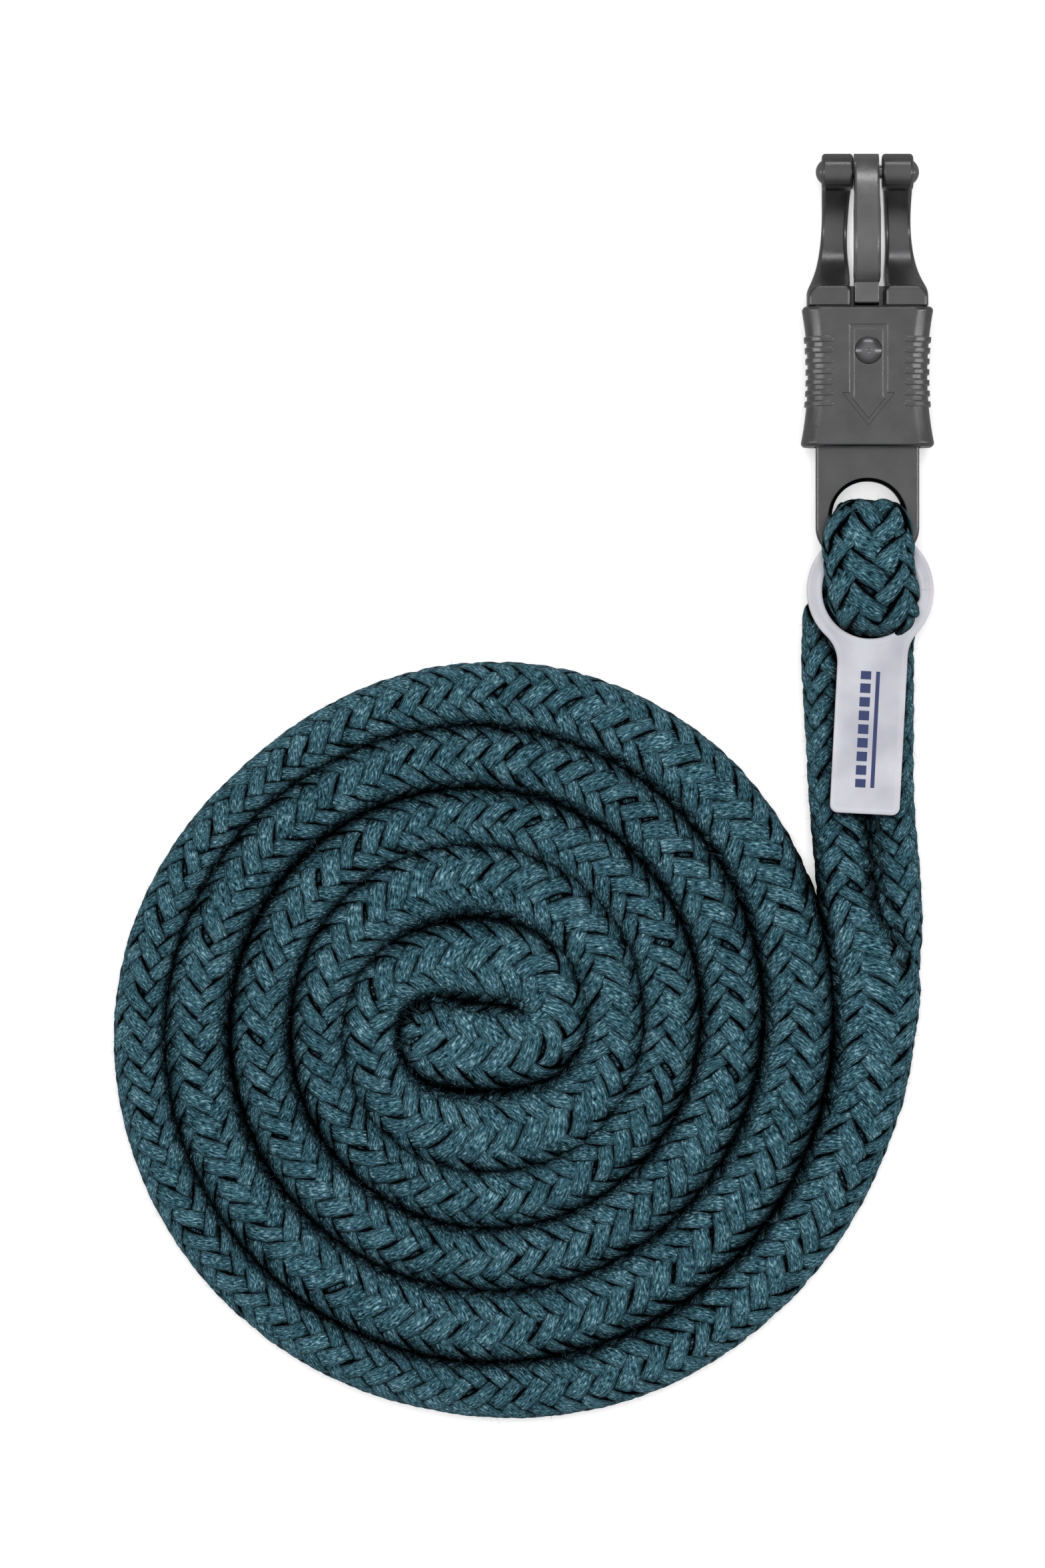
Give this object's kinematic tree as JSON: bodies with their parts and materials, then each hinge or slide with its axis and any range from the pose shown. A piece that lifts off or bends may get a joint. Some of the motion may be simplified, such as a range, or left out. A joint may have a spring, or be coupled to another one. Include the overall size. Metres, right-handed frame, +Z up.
{
  "type": "lead rope",
  "caption": "Braided teal lead rope with a gunmetal panic snap and a blank plastic tag, lying flat in a one-layer coil",
  "frame": {"origin": "on the ground under the middle of the panic snap", "axes": "X across the snap, Y along the snap towards its hinge, Z up from the ground; the coil lies at -X and -Y"},
  "size_m": [0.2039, 0.315, 0.0236],
  "materials": {
    "gunmetal": "dark grey plated casting, satin with soft highlights",
    "pin_steel": "dark grey plated steel, slightly brighter than the casting",
    "spring_steel": "bare spring wire",
    "rope_fibre": "petrol teal filament yarn in a herringbone braid",
    "tag_plastic": "milky translucent plastic",
    "thread": "waxed black-teal sewing thread"
  },
  "bodies": {
    "root": {"snap_body": "gunmetal", "hinge_pin": "pin_steel", "rope_coil": "rope_fibre", "rope_lead": "rope_fibre", "rope_eye_loop": "rope_fibre", "rope_tail": "rope_fibre", "tag": "tag_plastic", "splice_stitches": "thread", "release_spring": "spring_steel"},
    "finger": {"hook_finger": "gunmetal"},
    "sleeve": {"release_sleeve": "gunmetal", "sleeve_rivet": "pin_steel"}
  },
  "joints": [
    {"name": "finger_hinge", "type": "hinge", "parent": "root", "child": "finger", "pos_m": [0, 0.046, 0.0115], "axis": [-1, 0, 0], "range_deg": [0, 95]},
    {"name": "sleeve_slide", "type": "slide", "parent": "root", "child": "sleeve", "axis": [0, -1, 0], "range_m": [0, 0.007], "stiffness_N_per_m": 600, "springref_m": -0.006, "deforming": ["release_spring"]}
  ]
}
